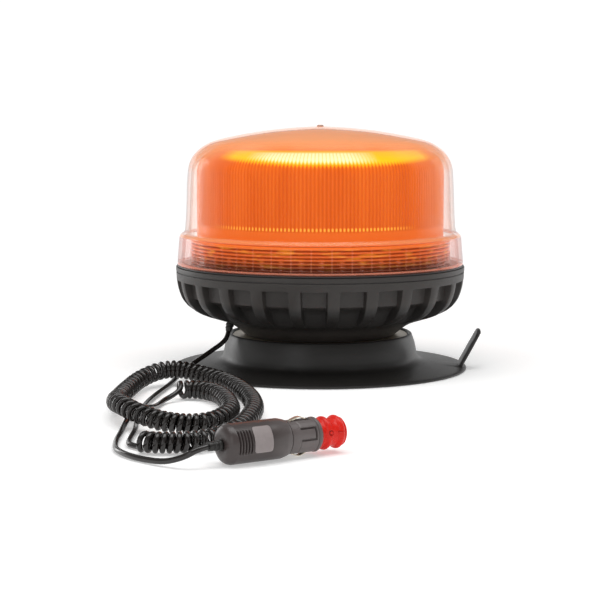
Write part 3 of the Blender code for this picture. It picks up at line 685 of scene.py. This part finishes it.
def cord_sleeve():
    """Tapered rubber sleeve, ringed so that it bends, where the lead leaves the bowl."""
    base, tip = Vector(GLAND_BASE) * MM, Vector(GLAND_TIP) * MM
    place = Matrix.Translation(base) @ (base - tip).normalized().to_track_quat("Z", "Y").to_matrix().to_4x4()
    length = (base - tip).length / MM - 0.6
    outline = [(0.0, 4.5), (2.6, 4.5), (2.6, -0.6), (3.0, -1.2), (2.9, -2.4), (2.5, -2.7), (2.5, -3.2),
               (2.75, -3.5), (2.6, -4.6), (2.3, -4.9), (2.2, -length), (1.9, -length - 0.9),
               (0.0, -length - 0.9)]
    turned("cord_sleeve", "black_rubber", eased(outline, 0.3, 2), ["cable_gland"], 40, place=place)


# ---- magnetic base ---------------------------------------------------------------------------

def neck_plate():
    outline = eased([(5.3, 21.7), (63.8, 21.7), (63.8, 24.7), (5.3, 24.7)], 0.5)
    turned("neck_plate", "zinc_plate", outline, ["base_plate"])


def rubber_base():
    """Drum and skirt in one rubber moulding, with a boss under the tab."""
    recess = [(50.4, 21.4), (64.1, 21.4), (64.1, 24.9)]
    lip = arc((65.7, 24.2), 1.6, 150.0, 20.0, 7)
    wall = [(68.0, 22.4), (69.0, 19.6), (69.9, 15.6), (70.6, 11.5), (71.2, 9.4), (72.3, 7.6), (73.9, 6.3),
            (76.0, 5.4), (80.0, 4.7), (90.0, 3.5), (98.2, 2.6), (101.6, 2.2), (104.8, 1.9)]
    rim = [(106.2, 1.6), (106.9, 1.1), (107.0, 0.5), (106.7, 0.0)]
    underside = [(98.0, 0.0), (80.0, 1.6), (54.0, 1.6), (52.0, 0.0), (50.4, 0.0)]
    half_angle = math.degrees(TAB_WIDTH / 2 / TAB_ROOT[0])

    def bossed(index, r, z, angle):
        near = window(around(angle, TAB_AZIMUTH), -half_angle, half_angle, 1.2) * (z > 1.7)
        return r, z + 0.9 * near * window(r, 100.0, 102.5, 2.6)

    turned("rubber_base", "black_rubber", recess + lip + wall + rim + underside,
           ["base_drum", "suction_skirt"], 288, bossed)


def release_tab():
    """Rubber strip on the skirt's edge, with a round end and grip ribs; it leans out from its root."""
    half, corner, foot = TAB_WIDTH / 2, 6.0, -1.6
    heights = np.concatenate([np.linspace(foot, 6.0, 9), np.linspace(7.0, TAB_LENGTH - corner, 22)])
    tops = [TAB_LENGTH - corner + corner * math.sin(math.radians(a)) for a in range(10, 90, 10)]
    section = 24
    verts = []
    for up in [*heights, *tops, TAB_LENGTH - 0.06]:
        over = max(up - (TAB_LENGTH - corner), 0.0)
        wide = half - corner + math.sqrt(max(corner ** 2 - over ** 2, 0.0))
        thick = TAB_THICK / 2 * min(1.0, math.sqrt(max(TAB_LENGTH - up, 0.0) / 1.4))
        grip = 0.22 * (0.5 - 0.5 * math.cos(TAU * (up - 17.0) / 2.0)) * window(up, 18.0, 26.0, 0.5)
        for step in range(section):
            out, side = boxy(TAU * step / section, 5)
            verts.append(((thick - grip) * out * MM, wide * side * MM, up * MM))
    turn_out = Matrix.Rotation(math.radians(TAB_AZIMUTH), 4, "Z")
    root = Matrix.Translation((TAB_ROOT[0] * MM, 0, TAB_ROOT[1] * MM))
    place = (turn_out @ root @ Matrix.Rotation(math.radians(TAB_LEAN), 4, "Y")
             @ Matrix.Rotation(math.radians(TAB_TWIST), 4, "Z"))
    tab = add_piece("release_tab", "black_rubber", [place @ Vector(v) for v in verts],
                    swept_faces(len(verts), section), ["pull_tab"], body=None)
    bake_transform(tab)


# ---- plug ------------------------------------------------------------------------------------

def plug_place():
    """Origin at the plug's rear end, local +Z to its tip and local +X up."""
    along = Matrix(((0, 0, 1, 0), (0, -1, 0, 0), (1, 0, 0, 0), (0, 0, 0, 1)))
    turn = Matrix.Rotation(math.radians(PLUG_YAW), 4, "Z")
    return Matrix.Translation(Vector(PLUG_REAR) * MM) @ turn @ along


PLUG = plug_place()


def handle():
    """Handle: domed rear, curved grip slots on both sides, chamfered front."""
    rear = [(2.6, 0.4), (3.4, 0.0), (6.4, 0.1), (8.4, 0.6), (9.8, 1.6), (10.7, 3.0), (11.1, 4.3)]
    pitch, count, first = 1.85, 5, 5.1
    grips = [(PLUG_BODY_R, first - 0.4 + step * pitch / 8) for step in range(count * 8 + 1)]
    front = [(PLUG_BODY_R, 20.0), (PLUG_BODY_R, 29.0), (PLUG_BODY_R, 35.6), (11.0, 36.5), (10.5, 38.6),
             (10.2, 39.5), (9.6, 40.0), (8.9, 40.0)]
    inside = [(7.4, 40.0), (7.4, 34.0), (9.0, 32.0), (9.0, 6.0), (2.6, 4.0)]

    def slotted(index, r, z, angle):
        if r != PLUG_BODY_R or not first - 0.5 < z < first + pitch * count:
            return r, z
        side = abs(around(angle, 0.0))
        reach = window(side, GRIP_TURN - 31.0, GRIP_TURN + 31.0, 5.0)
        phase = ((z - first) / pitch) % 1.0
        return r - 1.1 * reach * window(phase, 0.10, 0.44, 0.12), z

    turned("handle", "plug_plastic", rear + grips + front + inside, ["plug_body"], 180, slotted, place=PLUG)


def curved_plate(name, slot, nodes, inner, outer, middle, half_angle, low, high, ease, **how):
    """A plate wrapped on the plug's side, with its corners and its edges rounded."""
    across, along = 26, 18
    verts = []
    for reach, edge_drop in ((outer, 1.0), (inner, 0.0)):
        for i in range(across + 1):
            for j in range(along + 1):
                u, v = 2 * i / across - 1, 2 * j / along - 1
                squeeze = 1 - 0.09 * (abs(u) ** 8) * (abs(v) ** 8)
                angle = math.radians(middle + half_angle * u * squeeze)
                z = (low + high) / 2 + (high - low) / 2 * v * squeeze
                r = reach - ease * max(abs(u), abs(v)) ** 24 * edge_drop
                verts.append((r * math.cos(angle) * MM, r * math.sin(angle) * MM, z * MM))
    half = (across + 1) * (along + 1)

    def spot(i, j):
        return i * (along + 1) + j

    faces = []
    for i in range(across):
        for j in range(along):
            quad = (spot(i, j), spot(i + 1, j), spot(i + 1, j + 1), spot(i, j + 1))
            faces += [quad, tuple(half + k for k in quad[::-1])]
    border = [spot(i, 0) for i in range(across)] + [spot(across, j) for j in range(along)]
    border += [spot(i, along) for i in range(across, 0, -1)] + [spot(0, j) for j in range(along, 0, -1)]
    for one, two in zip(border, border[1:] + border[:1]):
        faces.append((one, half + one, half + two, two))
    return add_piece(name, slot, verts, faces, nodes, place=PLUG, **how)


def handle_pad():
    curved_plate("handle_pad", "pad_grey", ["plug_pad"], PLUG_BODY_R + 0.1, PLUG_BODY_R + 0.9, PAD_TURN,
                 38.0, 14.6, 26.2, 0.4)


def handle_sleeve():
    outline = [(0.0, 5.0), (2.3, 5.0), (2.3, -0.3), (3.2, -0.3), (3.1, -1.6), (2.6, -1.9), (2.6, -2.6),
               (2.9, -2.9), (2.8, -4.2), (2.4, -4.5), (2.4, -5.2), (2.6, -5.5), (2.4, -8.0), (0.0, -8.0)]
    turned("handle_sleeve", "black_rubber", eased(outline, 0.25, 2), ["plug_boot"], 40, place=PLUG)


def nose_barrel():
    """Nose: seam at the step, a tongue outlined by a U-shaped slot, and the contacts' windows."""
    start = PLUG_STEP + 0.3
    end = PLUG_NOSE_END - 3.4
    heights = np.arange(start + 0.6, end - 0.3, 0.3)
    outside = [(8.0, start), (PLUG_NOSE_R - 0.4, start), (PLUG_NOSE_R, start + 0.35)]
    outside += [(PLUG_NOSE_R, z) for z in heights] + [(PLUG_NOSE_R, end)]
    inside = [(6.4, end), (6.4, start)]

    def cut(index, r, z, angle):
        if r != PLUG_NOSE_R:
            return r, z
        contact = min(abs(around(angle, 0.0)), abs(around(angle, 180.0)))
        hole = 3.05 * window(contact, 0.0, 16.0, 1.0) * window(z, 42.4, 55.8, 0.3)
        across = abs(around(angle, TONGUE_TURN)) * math.radians(1.0) * r
        long_side = window(across, 2.9, 3.7, 0.25) * window(z, 46.6, 56.2, 0.4)
        short_side = window(across, 0.0, 3.7, 0.25) * window(z, 55.6, 56.2, 0.3)
        ring = 0.3 * window(z, start + 5.6, start + 5.8, 0.3) * (across > 4.2)
        return r - max(hole, 1.4 * max(long_side, short_side), ring), z

    turned("nose_barrel", "plug_plastic", outside + inside, ["plug_nose"], 300, cut, place=PLUG)


def nose_ring():
    start = PLUG_NOSE_END - 3.1
    outline = [(6.4, PLUG_NOSE_END - 0.3), (8.9, PLUG_NOSE_END - 0.3), (9.4, PLUG_NOSE_END - 0.9),
               (PLUG_NOSE_R + 0.3, start + 1.6), (PLUG_NOSE_R + 0.3, start + 0.6), (PLUG_NOSE_R - 0.2, start),
               (6.4, start)]
    turned("nose_ring", "plug_plastic", eased(outline, 0.4), ["plug_end_ring"], 96, place=PLUG)


def red_sleeve():
    """Red end sleeve: two swellings with a groove between them, a round mark and a slit."""
    outside = [(6.3, PLUG_NOSE_END), (7.8, PLUG_NOSE_END), (8.0, 61.6), (8.1, 62.6)]
    heights = np.arange(63.2, 76.6, 0.25)
    for z in heights:
        swell = 1.45 * math.cos((z - 65.8) / 8.2 * TAU)
        outside.append((7.95 + max(swell, -0.1 + 0.1 * swell), z))
    outside += [(8.1, 77.0), (7.4, 77.6), (6.2, 77.9), (4.8, PLUG_TIP), (4.4, 77.6)]
    inside = [(4.4, 75.2), (6.3, 74.6)]

    def marked(index, r, z, angle):
        if not 7.8 < r < 9.5 or z < 63.0 or z > 76.5:
            return r, z
        across = around(angle, MARK_TURN) * math.radians(1.0) * r
        from_mark = math.hypot(across, z - MARK_AT)
        ring = window(from_mark, 1.1, 1.6, 0.25)
        slit = window(abs(across + 0.3), 0.0, 0.3, 0.25) * window(z, 71.4, 74.2, 0.3)
        return r - 0.7 * max(ring, slit), z

    turned("red_sleeve", "red_plastic", outside + inside, ["red_adapter"], 200, marked, body="adapter",
           place=PLUG)


def tip_pin():
    dome = [(0.0, 77.7)] + arc((0.0, 75.0), 2.7, 84.0, 0.0, 7)
    outline = dome + [(2.7, 70.7), (3.3, 70.3), (3.3, 68.0), (0.0, 68.0)]
    turned("tip_pin", "spring_brass", outline, ["tip_contact"], 48, body="tip", place=PLUG)


def side_spring(name, node, body, side):
    """Bowed leaf spring with a folded end, showing in its window in the nose."""
    line = smooth_path([(8.9, 43.0), (9.6, 44.2), (10.9, 48.2), (11.0, 49.4), (10.9, 50.6), (9.6, 54.0),
                        (8.9, 55.1)], 0.5)
    half, thick, section = 1.7, 0.36, 12
    verts = []
    for index, (reach, along) in enumerate(line):
        before, after = line[max(index - 1, 0)], line[min(index + 1, len(line) - 1)]
        tangent = Vector((after[0] - before[0], after[1] - before[1])).normalized()
        taper = 0.72 + 0.28 * window(along, 45.0, 53.0, 2.4)
        for step in range(section):
            out, across = boxy(TAU * step / section, 6)
            out = thick * (out - 1.0)
            verts.append((side * (reach + out * tangent.y) * MM, half * taper * across * MM,
                          (along - out * tangent.x) * MM))
    add_piece(name, "spring_brass", verts, swept_faces(len(verts), section), [node], body=body, place=PLUG)


# ---- cord ------------------------------------------------------------------------------------

def curls():
    """Centre line of the wire in the curly stretch: a helix round its route.

    Its turns lie further apart where it runs from front to back.
    """
    line = smooth_path(CURL_ROUTE, 0.25)
    steps = np.diff(line, axis=0)
    lengths = np.linalg.norm(steps, axis=1)
    travelled = np.concatenate([[0.0], np.cumsum(lengths)])
    pitch = CURL_PITCH * (1 + DRAWN_OUT * (steps[:, 1] / lengths) ** 2)
    phase = np.concatenate([[0.0], np.cumsum(lengths / pitch)])
    over = LAST_SPIN - FIRST_SPIN
    turns = round(phase[-1] - over) + over
    phase *= turns / phase[-1]
    per_turn = 16
    points = []
    for turn in np.linspace(0.0, turns, round(turns * per_turn) + 1):
        at = np.interp(turn, phase, travelled)
        centre, ahead, behind = (
            np.array([np.interp(place, travelled, line[:, axis]) for axis in range(3)])
            for place in (at, min(at + 0.5, travelled[-1]), max(at - 0.5, 0.0)))
        forward = (ahead - behind) / np.linalg.norm(ahead - behind)
        across = np.cross(forward, (0.0, 0.0, 1.0))
        across /= np.linalg.norm(across)
        up = np.cross(across, forward)
        spin = TAU * (turn + FIRST_SPIN)
        points.append(centre + HELIX_R * (across * math.cos(spin) + up * math.sin(spin)))
    return points


def bridge(before, after, count=9):
    """Points that lead smoothly from the end of one run of points to the start of the next."""
    start, end = np.array(before[-1]), np.array(after[0])
    reach = np.linalg.norm(end - start)
    leaving, entering = start - before[-2], after[1] - end
    leaving *= reach / np.linalg.norm(leaving)
    entering *= reach / np.linalg.norm(entering)
    made = []
    for t in np.linspace(0.0, 1.0, count + 2)[1:-1]:
        made.append(start * (2 * t ** 3 - 3 * t ** 2 + 1) + leaving * (t ** 3 - 2 * t ** 2 + t)
                    + end * (3 * t ** 2 - 2 * t ** 3) + entering * (t ** 3 - t ** 2))
    return made


def curly_cord():
    """The whole cord as one curve: straight lead, curls, and straight tail into the handle."""
    lead = smooth_path(LEAD_ROUTE, 3.0)
    tail = smooth_path(TAIL_ROUTE, 3.0)
    coil = curls()
    points = [*lead, *bridge(lead, coil), *coil, *bridge(coil, tail), *tail]
    curve = bpy.data.curves.new("curly_cord", "CURVE")
    curve.dimensions = "3D"
    curve.bevel_depth = WIRE_R * MM
    curve.bevel_resolution = 3
    curve.use_fill_caps = True
    spline = curve.splines.new("POLY")
    spline.points.add(len(points) - 1)
    for point, place in zip(spline.points, points):
        point.co = (*(np.array(place) * MM), 1.0)
    spline.use_smooth = True
    curve.materials.append(FINISH["cord_jacket"])
    piece = bpy.data.objects.new("curly_cord", curve)
    bpy.context.scene.collection.objects.link(piece)
    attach(piece, "root")
    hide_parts("cord_lead", "cord_curls", "cord_tail")


# ---- setting ---------------------------------------------------------------------------------

def camera():
    data = bpy.data.cameras.new("camera")
    data.lens = 111.0
    data.sensor_width = 36.0
    data.clip_start, data.clip_end = 0.05, 60.0
    made = bpy.data.objects.new("camera", data)
    made.location = CAMERA_PLACE
    made.rotation_euler = (math.radians(90.0 - CAMERA_DIP), 0.0, 0.0)
    bpy.context.scene.collection.objects.link(made)
    bpy.context.scene.camera = made


def softbox(name, place, target, size, watts):
    data = bpy.data.lights.new(name, "AREA")
    data.shape = "RECTANGLE"
    data.size, data.size_y = size
    data.energy = watts
    made = bpy.data.objects.new(name, data)
    made.location = place
    made.rotation_euler = (Vector(target) - Vector(place)).to_track_quat("-Z", "Y").to_euler()
    bpy.context.scene.collection.objects.link(made)


def backdrop():
    """Pale floor with a cove and a low wall all round, which shine white away from the middle."""
    outline = [(COVE_R - COVE_WALL, GROUND)]
    outline += arc((COVE_R - COVE_WALL, GROUND + COVE_WALL), COVE_WALL, -80.0, 0.0, 9)
    outline.append((COVE_R, 2.5 * COVE_WALL))
    work = bmesh.new()
    steps = 96
    rings = [[work.verts.new((r * math.cos(TAU * i / steps), r * math.sin(TAU * i / steps), z))
              for i in range(steps)] for r, z in outline]
    work.faces.new(rings[0])
    for low, high in zip(rings, rings[1:]):
        for one in range(steps):
            two = (one + 1) % steps
            work.faces.new((low[one], high[one], high[two], low[two]))
    mesh = bpy.data.meshes.new("backdrop")
    work.to_mesh(mesh)
    work.free()
    mesh.shade_smooth()
    made = Finish("pale_backdrop", Roughness=0.85, Specular_IOR_Level=0.1, Emission_Color=(1, 1, 1, 1))
    x, y, z = made.axes()
    away = made.span(made.diagonal(x, y), COVE_GLOW, COVE_GLOW * 3)
    near = made.blend(made.noise(300.0, 2.0), (0.90, 0.90, 0.895), (0.92, 0.92, 0.915))
    made.drive(Base_Color=made.blend(away, near, (0.12, 0.12, 0.12)),
               Emission_Strength=made.span(away, 0.0, 1.0, 0.22, 0.97))
    mesh.materials.append(made.material)
    piece = bpy.data.objects.new("backdrop", mesh)
    bpy.context.scene.collection.objects.link(piece)


def studio():
    world = bpy.data.worlds.new("studio")
    bpy.context.scene.world = world
    world.use_nodes = True
    sky = world.node_tree.nodes["Background"]
    sky.inputs["Color"].default_value = (1.0, 1.0, 1.0, 1.0)
    sky.inputs["Strength"].default_value = 0.30
    bpy.context.scene.view_settings.view_transform = "Standard"
    softbox("overhead", (0.0, -0.35, 1.4), (0, -0.1, 0.0), (1.8, 0.9), 17.0)
    softbox("left_strip", (-1.25, 1.05, 0.35), (0, 0, 0.06), (0.4, 0.9), 4.0)
    softbox("right_strip", (1.25, 0.95, 0.35), (0, 0, 0.06), (0.4, 0.9), 1.5)
    softbox("front_left", (-0.9, -1.5, 0.7), (0, 0, 0.08), (0.6, 0.6), 2.0)


def dress_the_frame():
    """The CAD pieces that stay get their slot's finish."""
    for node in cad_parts.values():
        for slot in node.material_slots:
            slot.material = FINISH[slot.material.name.split(".")[0]]


dress_the_frame()
camera()
studio()
backdrop()

clear_dome()
amber_lens()
prism_band()
seam_gasket()
ribbed_bowl()
cord_sleeve()
neck_plate()
rubber_base()
release_tab()
handle()
handle_pad()
handle_sleeve()
nose_barrel()
nose_ring()
red_sleeve()
tip_pin()
side_spring("upper_spring", "side_contact_upper", "side_upper", 1)
side_spring("lower_spring", "side_contact_lower", "side_lower", -1)
curly_cord()
